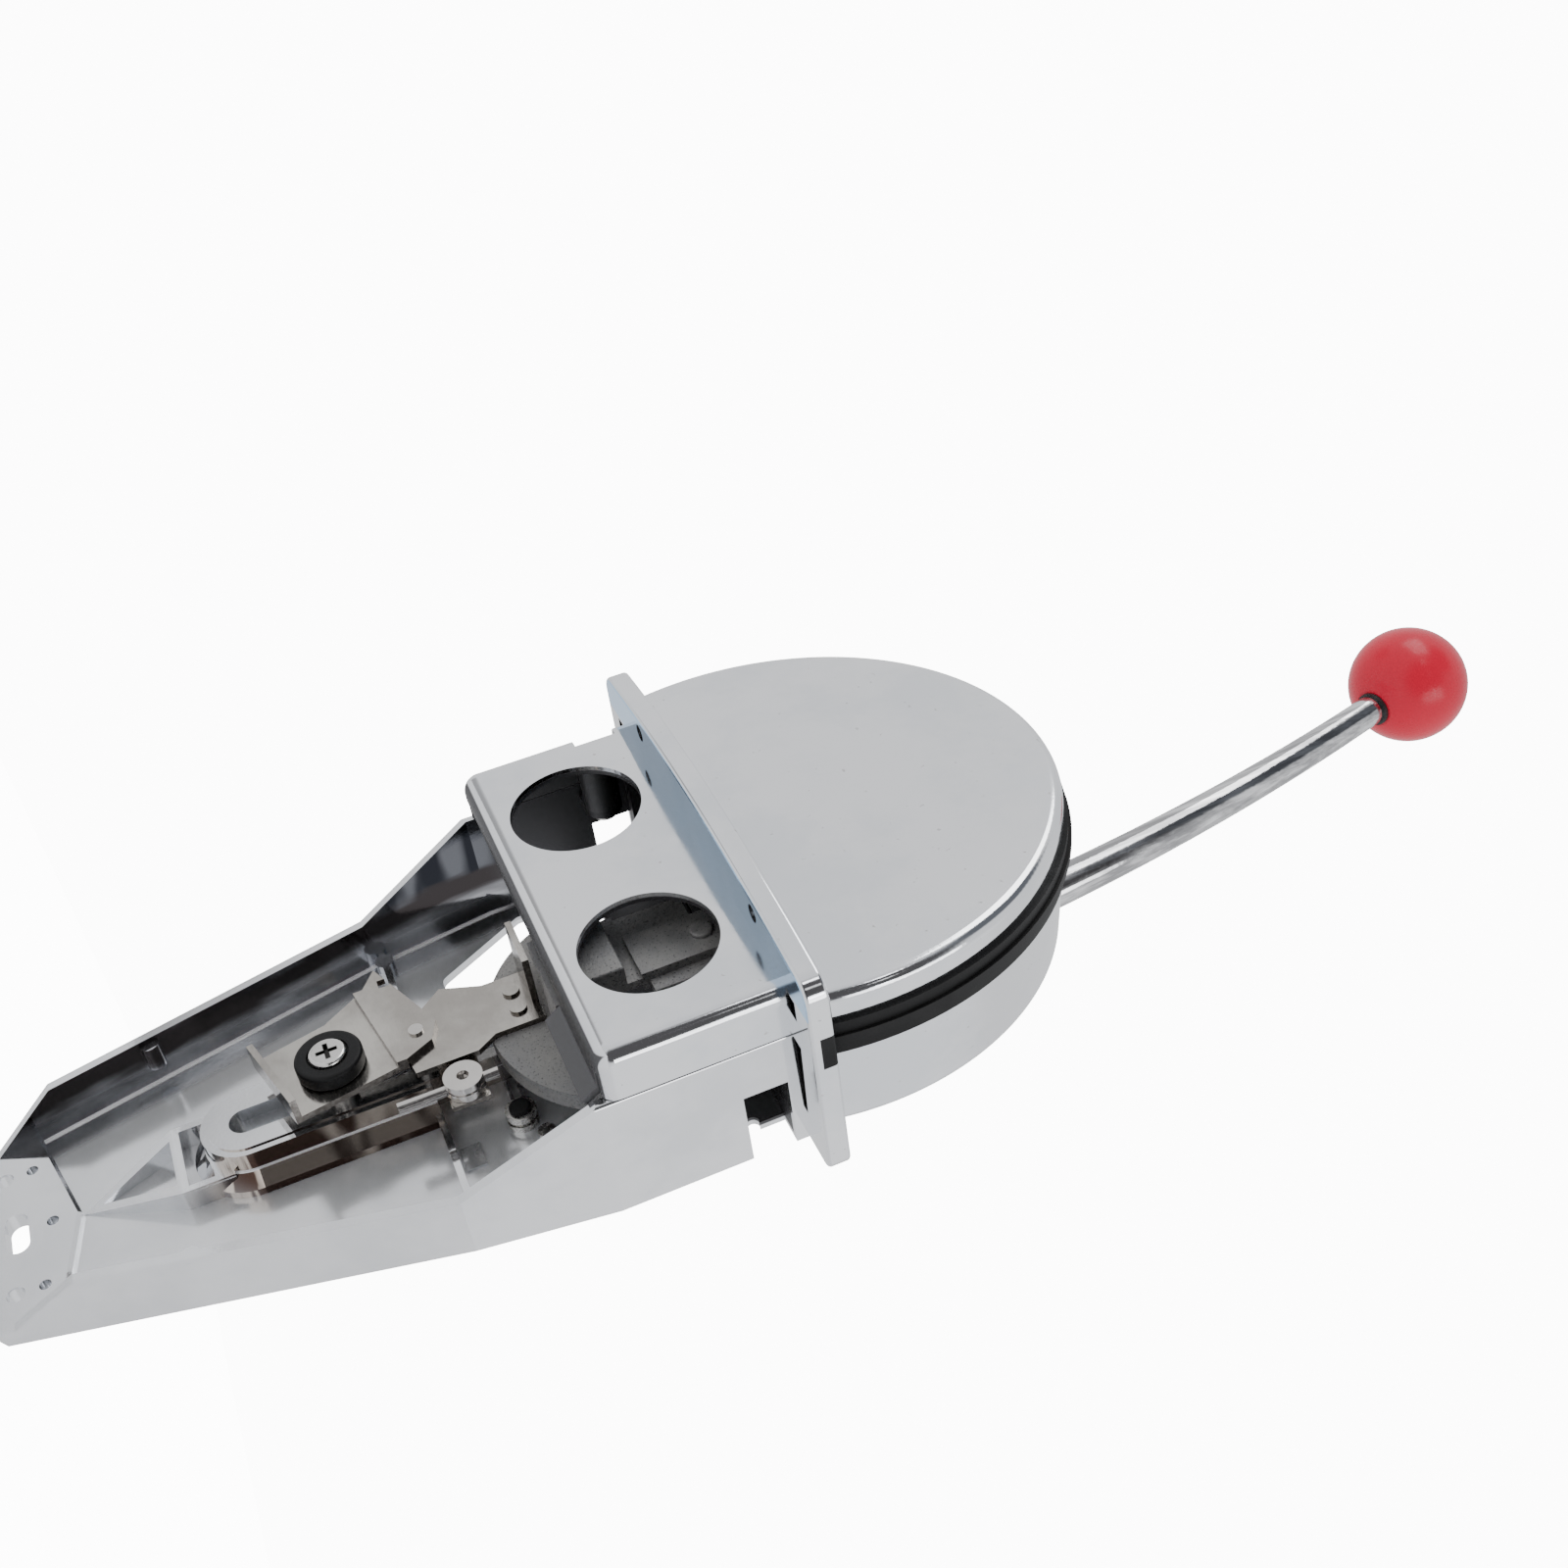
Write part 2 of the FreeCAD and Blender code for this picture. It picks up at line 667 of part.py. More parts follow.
def shaft_seal():
    return ring_y(0, shaft_height, shaft_radius + 0.3, hub_neck_radius - 1, seal_face, seal_face + seal_washer)


def brake_pad():
    return cyl_y(-brake_offset, shaft_height, brake_pad_radius, crank_back + 0.1, crank_back + brake_pad_thickness)


def brake_washers():
    washers = []
    start = crank_back + brake_pad_thickness
    for index in range(brake_washer_count):
        y = start + index * brake_washer_thickness
        washers.append(ring_y(-brake_offset, shaft_height, 1.6, brake_pad_radius - 0.2,
                              y, y + brake_washer_thickness))
    return group(washers)


def brake_screw():
    start = crank_back + brake_pad_thickness + brake_washer_count * brake_washer_thickness
    body = cyl_y(-brake_offset, shaft_height, brake_pad_radius, start, shell_back + 1.2)
    slot = box(-brake_offset - 0.6, -brake_offset + 0.6, shell_back - 0.4, far, shaft_height - 9, shaft_height + 9)
    return body.cut(slot)


def stop_post():
    back = floor_top
    base = cyl_y(stop_x, -stop_drop, stop_radius, back - stop_height, back)
    waist = ring_y(stop_x, -stop_drop, stop_radius - 0.9, stop_radius + 1, back - 3.4, back - 2.2)
    return base.cut(waist)


def stop_buffer():
    back = floor_top - stop_height
    cap = cyl_y(stop_x, -stop_drop, stop_buffer_radius, back - stop_buffer_height, back)
    front = [e for e in cap.Edges if e.BoundBox.YMax < back - stop_buffer_height + 1e-3]
    return cap.makeFillet(0.7, front)


def floor_screw():
    return cyl_y(floor_screw_x, -floor_screw_drop, floor_screw_radius, floor_top - floor_screw_height, floor_top)


def arc_place(length):
    angle = length / lever_bend_radius
    x = -lever_bend_radius * (1 - math.cos(angle))
    z = shaft_height + lever_bend_radius * math.sin(angle)
    return V(x, lever_plane, z), V(-math.sin(angle), 0, math.cos(angle))


def lever_rod():
    start = hub_radius
    end = lever_length + knob_bore_depth - knob_radius
    sections = []
    for step in range(7):
        length = start + (end - start) * step / 6
        share = (length - start) / (end - start)
        place, along = arc_place(length)
        radius = rod_root_radius + share * (rod_tip_radius - rod_root_radius)
        sections.append(Part.Wire(Part.Circle(place, along, radius).toShape()))
    return Part.makeLoft(sections, True, False)


def knob():
    place, along = arc_place(lever_length)
    ball = Part.makeSphere(knob_radius, place)
    mouth = knob_radius - knob_flat
    flat = Part.makeCylinder(knob_radius, 10, place - along * mouth, along * -1)
    root, direction = arc_place(lever_length + knob_bore_depth - knob_radius)
    bore = Part.makeCylinder(rod_tip_radius, 40, root, direction * -1)
    return ball.cut([flat, bore.fuse(rod_envelope())])


def rod_envelope():
    return lever_rod()


def knob_collar():
    place, along = arc_place(lever_length)
    face = place - along * (knob_radius - knob_flat)
    ring = Part.makeCylinder(rod_tip_radius + collar_width, collar_length, face, along * -1)
    return ring.cut(lever_rod())


def lever_hub():
    neck = cyl_y(0, shaft_height, hub_neck_radius, hub_neck_front, hub_front)
    drum = cyl_y(0, shaft_height, hub_radius, hub_front, hub_back)
    rims = [e for e in drum.Edges if e.BoundBox.YLength < 1e-6]
    drum = drum.makeFillet(2.5, rims)
    socket = cyl_z(0, lever_plane, socket_radius, shaft_height, shaft_height + socket_length)
    socket_top = [e for e in socket.Edges if e.BoundBox.ZMin > shaft_height + socket_length - 1e-3]
    socket = socket.makeFillet(1.8, socket_top)
    body = neck.fuse([drum, socket])
    body = body.cut(cyl_y(0, shaft_height, shaft_radius, 0, far))
    body = body.cut(lever_rod())
    screw = cyl_x(lever_plane, shaft_height, 2.5, shaft_radius, far)
    return body.cut(screw).removeSplitter()


def hub_set_screw():
    body = cyl_x(lever_plane, shaft_height, 2.5, shaft_radius, hub_radius - 0.8)
    return body.cut(cyl_x(lever_plane, shaft_height, 1.3, hub_radius - 3, hub_radius))


def hub_cap():
    disc = cyl_y(0, shaft_height, hub_radius - 4, hub_back, hub_back + hub_cap_height)
    outer = [e for e in disc.Edges if e.BoundBox.YMin > hub_back + hub_cap_height - 1e-3]
    return disc.makeFillet(hub_cap_height - 1, outer)


def lever_shaft():
    shaft = cyl_y(0, shaft_height, shaft_radius, cover_wall + 0.4, hub_back)
    return shaft.cut(key_block())


def key_block():
    return box(-key_width / 2, key_width / 2, crank_front, crank_back,
               shaft_height + shaft_radius - key_width / 2, shaft_height + shaft_radius + key_width / 2)


def crank():
    disc = cyl_y(0, shaft_height, crank_disc_radius, crank_front, crank_back)
    tip = cyl_y(crank_radius, shaft_height, crank_end_radius, crank_front, crank_back)
    arm = prism_y([(0, shaft_height - crank_disc_radius * 0.8), (crank_radius, shaft_height - crank_end_radius),
                   (crank_radius, shaft_height + crank_end_radius), (0, shaft_height + crank_disc_radius * 0.8)],
                  crank_front, crank_back)
    body = disc.fuse([tip, arm])
    cuts = [cyl_y(0, shaft_height, shaft_radius, 0, far), key_block(),
            cyl_y(crank_radius, shaft_height, crank_pin_radius, 0, far)]
    return body.cut(cuts).removeSplitter()


def roller_front():
    return yoke_front + (yoke_thickness - roller_width) / 2


def crank_pin():
    front = roller_front() - 2 * clip_thickness
    pin = cyl_y(crank_radius, shaft_height, crank_pin_radius, front, crank_back)
    shoulder = cyl_y(crank_radius, shaft_height, crank_pin_radius + 1.5,
                     roller_front() + roller_width + 0.2, crank_front)
    groove = ring_y(crank_radius, shaft_height, crank_pin_radius - 0.6, crank_pin_radius + 1,
                    front + clip_thickness / 2, front + 1.5 * clip_thickness)
    return pin.fuse(shoulder).cut(groove)


def pin_clip():
    front = roller_front() - 1.5 * clip_thickness
    return ring_y(crank_radius, shaft_height, crank_pin_radius - 0.6, crank_pin_radius + 1.6,
                  front, front + clip_thickness)


def crank_roller():
    return ring_y(crank_radius, shaft_height, crank_pin_radius + roller_clearance, roller_radius,
                  roller_front(), roller_front() + roller_width)


def yoke_arm():
    half_slot = roller_radius + yoke_slot_play
    swing = math.radians(lever_swing)
    slot_left = crank_radius * math.cos(swing) - roller_radius - 1
    slot_right = crank_radius + roller_radius + 1
    head_low = shaft_height - half_slot - yoke_rim
    head = box(yoke_inner_x, slot_right + yoke_rim, yoke_front, yoke_back,
               head_low, shaft_height + half_slot + yoke_rim)
    corners = [e for e in head.Edges if e.BoundBox.YLength > 1]
    head = head.makeFillet(4.0, corners)
    bar_back = arm_front + arm_thickness
    bar = box(arm_block_left, arm_right, arm_front, bar_back, -arm_block_end_drop - arm_web, -arm_step_drop)
    neck = prism_y([(arm_left, -arm_step_drop), (arm_right, -arm_step_drop), (arm_right, 0),
                    (arm_right + 8, head_low + yoke_rim / 2), (yoke_inner_x, head_low + yoke_rim / 2),
                    (arm_left, 0)], arm_front, yoke_back)
    block = box(arm_block_left, arm_right, arm_block_front, arm_front,
                -arm_block_end_drop, -arm_step_drop - arm_step_gap)
    near_edges = [e for e in block.Edges if e.BoundBox.YMax < arm_block_front + 1e-3]
    block = block.makeFillet(0.8, near_edges)
    lifted = -arm_step_drop + arm_backing_lift
    backing = prism_y([(arm_backing_left, -arm_step_drop), (arm_right, -arm_step_drop), (arm_right, lifted),
                       (arm_backing_right, lifted), (arm_backing_right, -arm_backing_top_drop), (arm_backing_left, -arm_backing_top_drop)],
                      yoke_back, yoke_back + arm_backing_thickness)
    groove = box(arm_block_left - 1, arm_right + 1, arm_front - 1, arm_front + 1.6,
                 -arm_step_drop - arm_step_gap, -arm_step_drop)
    web = box(arm_left, arm_right, arm_front, link_back, -arm_block_end_drop - arm_web, -arm_block_end_drop)
    foot = cyl_y(foot_x, -foot_drop, foot_radius, link_back, foot_back)
    foot = foot.cut(box(-far, far, 0, far, -foot_top_drop, far))
    toe = box(arm_left, arm_right, link_back - 3, foot_back, -arm_block_end_drop - arm_web, -arm_block_end_drop)
    body = head.fuse([bar, neck, block, backing, web, foot, toe])
    slot = box(slot_left + half_slot, slot_right - half_slot, 0, yoke_back + 1,
               shaft_height - half_slot, shaft_height + half_slot)
    ends = [cyl_y(x, shaft_height, half_slot, 0, yoke_back + 1)
            for x in (slot_left + half_slot, slot_right - half_slot)]
    half_trunnion = trunnion_radius + trunnion_relief
    reliefs = [cyl_z(trunnion_x, rod_depth(), cable_rod_radius + trunnion_relief,
                     -trunnion_drop - cable_rod_down, -trunnion_drop + cable_rod_up + trunnion_relief),
               box(link_right - plate_thickness - trunnion_relief, trunnion_x + half_trunnion,
                   trunnion_front - trunnion_relief, far,
                   -trunnion_drop - half_trunnion, -trunnion_drop + half_trunnion)]
    return body.cut([slot, groove] + ends + reliefs).removeSplitter()


def yoke_rivet():
    x = (arm_left + arm_right) / 2
    head = cyl_y(x, -yoke_rivet_drop, 3.5, arm_front - 1.4, arm_front)
    front = [e for e in head.Edges if e.BoundBox.YMax < arm_front - 1.3]
    return head.makeFillet(0.8, front)


def link_plate():
    points = [(link_left, -link_top_drop), (link_neck_right, -link_top_drop), (link_neck_right, -link_step_drop),
              (link_right, -link_step_end_drop), (link_right, -link_bottom_drop),
              (-link_skew, -link_bottom_drop - link_skew), (link_left - link_bulge, -link_far_end_drop),
              (link_left, -link_far_drop)]
    plate = prism_y(points, link_front, link_back)
    riser_low = -link_top_drop - plate_thickness
    riser = box(link_left - 4, link_riser_right, link_front - link_riser_height, link_back,
                riser_low, -link_top_drop)
    leg = box(link_right - plate_thickness, link_right, link_back, trunnion_foot_front + trunnion_foot,
              -trunnion_drop - trunnion_radius, -trunnion_drop + trunnion_radius)
    foot = box(link_right - plate_thickness, trunnion_x + trunnion_radius, trunnion_foot_front,
               trunnion_foot_front + trunnion_foot,
               -trunnion_drop - trunnion_radius, -trunnion_drop + trunnion_radius)
    hole = cyl_y(trunnion_x, -trunnion_drop, trunnion_journal_radius + trunnion_clearance, 0, far)
    body = plate.fuse([riser, leg, foot])
    return body.cut([hole, cyl_y(0, -guide_pin_drop, guide_pin_stem_radius, 0, far)]).removeSplitter()


def link_rivets():
    rivets = []
    for x in (-link_rivet_pitch / 2, link_rivet_pitch / 2):
        head = cyl_y(x, -link_rivet_drop, link_rivet_radius, link_front - 1.0, link_front)
        rivets.append(head)
    return group(rivets)


def slide_bracket():
    raised_front = link_front - plate_thickness
    far_corner = (-bracket_far, -bracket_far_drop)
    near_corner = (bracket_near, -bracket_near_drop)
    bend_far = (-bracket_far, -bracket_far_drop + bracket_bend_rise)
    bend_near = (bracket_near, -bracket_near_drop + bracket_bend_rise)
    toe_left = (-bracket_toe_left, -bracket_toe_left_drop)
    toe_right = (bracket_toe_right, -bracket_toe_right_drop)
    raised = prism_y([bend_far, bend_near, (bracket_shoulder, -bracket_shoulder_drop),
                      (-bracket_top_left, -bracket_top_drop), (-bracket_ear, -bracket_ear_drop)],
                     raised_front, link_front)
    low = prism_y([toe_left, toe_right, near_corner, far_corner, (-bracket_waist, -bracket_waist_drop)],
                  bracket_low_front, bracket_low_back)
    jog = prism_y([far_corner, near_corner, bend_near, bend_far], raised_front, bracket_low_back)
    slope = (bracket_tab_length / 5, -bracket_tab_length)
    tab = prism_y([toe_left, toe_right, (toe_right[0] + slope[0], toe_right[1] + slope[1]),
                   (toe_left[0] + slope[0], toe_left[1] + slope[1])],
                  bracket_low_front - bracket_tab_height, bracket_low_back)
    body = raised.fuse([low, jog, tab])
    half_hole = bracket_hole_side / 2
    square = box(-bracket_hole_x - half_hole, -bracket_hole_x + half_hole, 0, far,
                 -bracket_hole_drop - half_hole, -bracket_hole_drop + half_hole)
    cuts = [square, cyl_y(0, -bush_drop, guide_screw_shank, 0, far),
            cyl_y(0, -guide_pin_drop, guide_pin_stem_radius, 0, far)]
    return body.cut(cuts).removeSplitter()


def guide_sleeve():
    return ring_y(0, -bush_drop, guide_screw_shank, guide_radius, bracket_low_back, guide_depth)


def guide_pin():
    pin = cyl_y(0, -guide_pin_drop, guide_radius, link_back, guide_depth)
    stem = cyl_y(0, -guide_pin_drop, guide_pin_stem_radius, link_front - plate_thickness - 0.8, link_back)
    return pin.fuse(stem).removeSplitter()


def guide_bush():
    front = bracket_low_front - guide_bush_thickness
    ring = ring_y(0, -bush_drop, guide_screw_shank, guide_bush_radius, front, bracket_low_front)
    outer = [e for e in ring.Edges
             if e.BoundBox.YLength < 1e-6 and e.BoundBox.XLength > 2 * guide_bush_radius - 1]
    ring = ring.makeFillet(1.2, outer)
    dish = cyl_y(0, -bush_drop, guide_screw_head_radius + 0.6, front - 1, front + 1.0)
    return ring.cut(dish)


def guide_screw():
    front = bracket_low_front - guide_bush_thickness + 1.0
    head = cyl_y(0, -bush_drop, guide_screw_head_radius, front - guide_screw_head_height, front)
    rim = [e for e in head.Edges if e.BoundBox.YMax < front - guide_screw_head_height + 1e-3]
    head = head.makeFillet(1.2, rim)
    cross = [box(-3, 3, 0, front - 1.0, -bush_drop - 0.5, -bush_drop + 0.5),
             box(-0.5, 0.5, 0, front - 1.0, -bush_drop - 3, -bush_drop + 3)]
    return head.cut(cross).fuse(cyl_y(0, -bush_drop, guide_screw_shank, front, guide_depth)).removeSplitter()


def trunnion_barrel():
    back = trunnion_foot_front - 0.1
    barrel = cyl_y(trunnion_x, -trunnion_drop, trunnion_radius, trunnion_front, back)
    journal = cyl_y(trunnion_x, -trunnion_drop, trunnion_journal_radius, back,
                    trunnion_foot_front + trunnion_foot + 1.6)
    screw_hole = cyl_y(trunnion_x, -trunnion_drop, 1.8, trunnion_front - 1, trunnion_front + 2.4)
    groove = ring_y(trunnion_x, -trunnion_drop, trunnion_radius - 0.5, trunnion_radius + 1,
                    trunnion_front + 2.2, trunnion_front + 3.0)
    rod = cyl_z(trunnion_x, rod_depth(), cable_rod_radius, -trunnion_drop - far, far)
    return barrel.fuse(journal).cut([screw_hole, groove, rod])


def rod_depth():
    return (trunnion_front + trunnion_foot_front) / 2 + 0.9


def cable_rod():
    return cyl_z(trunnion_x, rod_depth(), cable_rod_radius, -trunnion_drop - cable_rod_down,
                 -trunnion_drop + cable_rod_up)


def trunnion_clip():
    front = trunnion_foot_front + trunnion_foot + 0.1
    return ring_y(trunnion_x, -trunnion_drop, trunnion_journal_radius, trunnion_journal_radius + 1.2,
                  front, front + clip_thickness)


def build():
    makers = [frame_tray, housing_shell, housing_cover, access_cover, rim_seal, cover_screws,
              access_cover_screws, frame_screws, front_shaft_bush, back_shaft_bush, shaft_seal,
              brake_pad, brake_washers, brake_screw, stop_post, stop_buffer, floor_screw,
              lever_rod, lever_hub, hub_cap, hub_set_screw, knob, knob_collar, lever_shaft,
              crank, crank_pin, pin_clip, crank_roller, yoke_arm, yoke_rivet,
              link_plate, link_rivets, slide_bracket, guide_sleeve, guide_pin, guide_bush,
              guide_screw, trunnion_barrel, trunnion_clip, cable_rod]
    pieces = {maker.__name__: maker() for maker in makers}
    pieces["shaft_key"] = key_block()
    return pieces


def main():
    os.makedirs("parts", exist_ok=True)
    to_origin = V(0, -(front_deck_hole_row + back_deck_hole_row) / 2, 0)
    for name, shape in build().items():
        shape.translate(to_origin)
        shape.exportStep("parts/" + name + ".step")
        print(name, "solids", len(shape.Solids), "valid", shape.isValid(), "volume", round(shape.Volume))


main()
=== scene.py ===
# Boat throttle control lever: finishes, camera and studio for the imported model.
import math
import bpy
from mathutils import Matrix, Vector


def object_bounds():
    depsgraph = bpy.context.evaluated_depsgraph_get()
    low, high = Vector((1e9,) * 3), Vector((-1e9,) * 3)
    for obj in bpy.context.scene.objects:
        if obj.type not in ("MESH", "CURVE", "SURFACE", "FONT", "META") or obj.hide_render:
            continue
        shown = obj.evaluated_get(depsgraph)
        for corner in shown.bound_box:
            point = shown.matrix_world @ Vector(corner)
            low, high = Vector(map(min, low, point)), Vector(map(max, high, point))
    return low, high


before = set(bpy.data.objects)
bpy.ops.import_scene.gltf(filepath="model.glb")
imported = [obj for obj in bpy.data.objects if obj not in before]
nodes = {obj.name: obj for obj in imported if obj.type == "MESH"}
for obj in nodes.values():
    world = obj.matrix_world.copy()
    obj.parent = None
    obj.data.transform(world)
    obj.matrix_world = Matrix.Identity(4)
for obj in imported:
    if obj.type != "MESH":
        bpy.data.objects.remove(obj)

cad_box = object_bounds()


# Places on the solids, in metres from the middle of the flange: x runs along the flange, y from the
# cover to the tray's floor, z from the tray up to the housing. A pair is where a mask's edge starts
# and where it ends.

mask_edge = 0.0004
shaft_height = 0.025
housing_inner_width = 0.0768
housing_inner_height = 0.0832
housing_inner_rim = (1.0, 1.012)
housing_inner_front = -0.0228
housing_inner_back = 0.0260
flange_top = (0.0004, 0.0010)
flange_underside = (0.0001, 0.0004)

frame_inner_half_width = 0.0674
frame_inner_back = 0.0340
access_inner_front = -0.0222
frame_inside_fade = 0.016
frame_inside_drop = 0.056
cap_inside_drop = 0.085

boss_middle = (0.004, 0.030, -0.118)
boss_reach = (0.024, 0.022, 0.048)
boss_fade = (0.8, 1.25)
boss_slot_side = (0.0055, 0.0080)
ledge_near = (0.0255, 0.0262)
ledge_far = (0.0268, 0.0276)
ledge_line_near = (0.0261, 0.0263)
ledge_line_far = (0.0266, 0.0268)

tray_floor = (0.0318, 0.0326)
tray_floor_back = (0.0332, 0.0340)
far_wall_foot = (0.0318, 0.0324)
far_wall_top = 0.010
# Half width of the tray at one height, and how fast it narrows below.
upper_wall = (0.0665, -0.057, 0.1463)
lower_wall = (0.0605, -0.098, 0.2360)

guide_screw_drop = 0.1192
recess_arm_end = (0.0030, 0.0034)
recess_arm_side = (0.0006, 0.0009)


# Colours: a pair is the clean finish first and the smudged one second; the tray's pairs of painted reflection and
# shade go from the dark band to the light one instead

housing_plating = ((0.82, 0.83, 0.85), (0.72, 0.745, 0.78))
frame_plating = ((0.81, 0.82, 0.84), (0.71, 0.725, 0.75))
plating_speck = (0.58, 0.58, 0.59)
# Blue tint of the flange's underside: a painted reflection of blue-grey surroundings, put into the chrome's
# colour.
flange_underside_blue_reflection = (0.44, 0.67, 0.93)
# Near-black colours of the inside faces are painted shade for the dark interior under the flange and cover.
shaded_inside_casting = (0.11, 0.11, 0.115)
shaded_inside_frame = (0.085, 0.085, 0.09)
# Warm brown pair with dark and light bands: painted reflection streaks on the guide boss's sides.
warm_reflection_streaks = ((0.075, 0.046, 0.036), (0.66, 0.58, 0.50))
far_wall_shading = ((0.045, 0.040, 0.041), (0.46, 0.47, 0.50))
high_wall_shading = ((0.022, 0.024, 0.030), (0.13, 0.135, 0.15))
# Near-white colour of the painted highlight line along the far wall's foot and the boss's ledge.
painted_highlight_line = (0.92, 0.92, 0.93)
rod_chrome = ((0.84, 0.84, 0.85), (0.74, 0.74, 0.75))
# Darker lengthwise streaks on the rod are painted reflections.
rod_reflection_streak = (0.32, 0.32, 0.33)
knob_red = ((0.68, 0.013, 0.042), (0.64, 0.011, 0.038))
rubber_black = ((0.004, 0.004, 0.0045), (0.010, 0.010, 0.0105))
plastic_black = ((0.018, 0.018, 0.018), (0.03, 0.03, 0.03))
cast_grey = ((0.20, 0.20, 0.205), (0.30, 0.295, 0.285))
cast_pit = (0.07, 0.07, 0.07)
stamped_steel = ((0.52, 0.50, 0.465), (0.33, 0.312, 0.288))
# Dark colour of the plates' cut edges, also laid on the fold slopes as painted shade.
edge_and_fold_shade_steel = (0.16, 0.145, 0.13)
screw_steel = ((0.62, 0.61, 0.59), (0.5, 0.49, 0.47))
cross_head_steel = ((0.66, 0.65, 0.63), (0.52, 0.51, 0.49))
recess_shadow = (0.035, 0.034, 0.033)
turned_steel = ((0.62, 0.6, 0.58), (0.52, 0.5, 0.48))
bush_bronze = ((0.62, 0.42, 0.22), (0.5, 0.33, 0.17))
floor_white = ((0.9, 0.9, 0.9), (0.86, 0.86, 0.865))


# Camera at the photograph's viewing angle

def place_camera():
    right = Vector((0.3839, 0.1096, 0.9168)).normalized()
    forward = Vector((-0.7476, 0.6196, 0.2390))
    forward = (forward - right * forward.dot(right)).normalized()
    up = right.cross(forward)
    eye = Vector((0.40626, -0.36972, -0.10066))
    data = bpy.data.cameras.new("photo_camera")
    data.sensor_width = 36.0
    data.lens = 42.35
    data.clip_start = 0.01
    data.clip_end = 50.0
    camera = bpy.data.objects.new("photo_camera", data)
    bpy.context.scene.collection.objects.link(camera)
    turn = Matrix((right, up, -forward)).transposed().to_4x4()
    camera.matrix_world = Matrix.Translation(eye) @ turn
    bpy.context.scene.camera = camera


# Shader building blocks

def fill(tree, sockets, values):
    """Give each socket its value, or link it where the value is another node's output."""
    for socket, value in zip(sockets, values):
        if isinstance(value, bpy.types.NodeSocket):
            tree.links.new(value, socket)
        else:
            socket.default_value = value


def number_step(tree, operation, *values):
    node = tree.nodes.new("ShaderNodeMath")
    node.operation = operation
    fill(tree, node.inputs, values)
    return node.outputs[0]


def vector_step(tree, operation, *values):
    node = tree.nodes.new("ShaderNodeVectorMath")
    node.operation = operation
    fill(tree, node.inputs, values)
    return node.outputs["Value" if operation in ("LENGTH", "DOT_PRODUCT") else "Vector"]


def parts_of(tree, vector):
    """The x, y and z of a vector."""
    node = tree.nodes.new("ShaderNodeSeparateXYZ")
    tree.links.new(vector, node.inputs[0])
    return node.outputs


def surface_normal(tree):
    return tree.nodes.new("ShaderNodeNewGeometry").outputs["Normal"]


def noise(tree, place, scale, detail, roughness=0.5, output="Fac"):
    node = tree.nodes.new("ShaderNodeTexNoise")
    tree.links.new(place, node.inputs["Vector"])
    node.inputs["Scale"].default_value = scale
    node.inputs["Detail"].default_value = detail
    node.inputs["Roughness"].default_value = roughness
    return node.outputs[output]


def spread(tree, value, start, end, out_start=0.0, out_end=1.0):
    """A soft step from one number at the start to another at the end."""
    node = tree.nodes.new("ShaderNodeMapRange")
    node.interpolation_type = "SMOOTHSTEP"
    tree.links.new(value, node.inputs["Value"])
    for label, number in (("From Min", start), ("From Max", end), ("To Min", out_start), ("To Max", out_end)):
        node.inputs[label].default_value = number
    return node.outputs["Result"]


def falling(tree, value, start, end):
    """1 before the start, 0 past the end."""
    return spread(tree, value, start, end, 1.0, 0.0)


def product(tree, *values):
    """All the masks multiplied."""
    result = values[0]
    for value in values[1:]:
        result = number_step(tree, "MULTIPLY", result, value)
    return result


def largest(tree, *values):
    """The masks laid over each other."""
    result = values[0]
    for value in values[1:]:
        result = number_step(tree, "MAXIMUM", result, value)
    return result


def colour_mix(tree, factor, first, second):
    """From first to second; each is a colour, one number for all its parts, or another node's output."""
    node = tree.nodes.new("ShaderNodeMix")
    node.data_type = "RGBA"
    tree.links.new(factor, node.inputs["Factor"])
    for socket, colour in zip((node.inputs[6], node.inputs[7]), (first, second)):
        if isinstance(colour, bpy.types.NodeSocket):
            tree.links.new(colour, socket)
        else:
            socket.default_value = (*colour, 1.0) if isinstance(colour, tuple) else (colour, colour, colour, 1.0)
    return node.outputs[2]


def new_group(name, masks, **values):
    """An empty group that takes the surface's Coordinates and the values and puts out the masks."""
    group = bpy.data.node_groups.new(name, "ShaderNodeTree")
    group.interface.new_socket(name="Coordinates", in_out="INPUT", socket_type="NodeSocketVector")
    for label, value in values.items():
        kind = "NodeSocketVector" if isinstance(value, tuple) else "NodeSocketFloat"
        group.interface.new_socket(name=label, in_out="INPUT", socket_type=kind).default_value = value
    for label in masks:
        group.interface.new_socket(name=label, in_out="OUTPUT", socket_type="NodeSocketFloat")
    return group, group.nodes.new("NodeGroupInput").outputs, group.nodes.new("NodeGroupOutput").inputs


# Effects that the finishes share

def casting_ripple_group():
    """Height of the casting's shallow waves, with a trace of fine grain."""
    group, given, result = new_group("casting ripple", ["Height"], Scale=1.0)
    scaled = vector_step(group, "MULTIPLY", given["Coordinates"], given["Scale"])
    wave = noise(group, scaled, scale=38.0, detail=1.0)
    grain = noise(group, scaled, scale=900.0, detail=2.0)
    grain_share = 0.03
    group.links.new(number_step(group, "MULTIPLY_ADD", grain, grain_share, wave), result["Height"])
    return group


def handling_marks_group():
    """Soft smudges from hands, and small specks in the plating."""
    group, given, result = new_group("handling marks", ["Smudge", "Specks"], Amount=0.5)
    cloud = noise(group, given["Coordinates"], scale=22.0, detail=5.0, roughness=0.6)
    speck = noise(group, given["Coordinates"], scale=420.0, detail=2.0)
    smudge = product(group, spread(group, cloud, 0.40, 0.64), given["Amount"])
    group.links.new(smudge, result["Smudge"])
    group.links.new(spread(group, speck, 0.70, 0.78), result["Specks"])
    return group


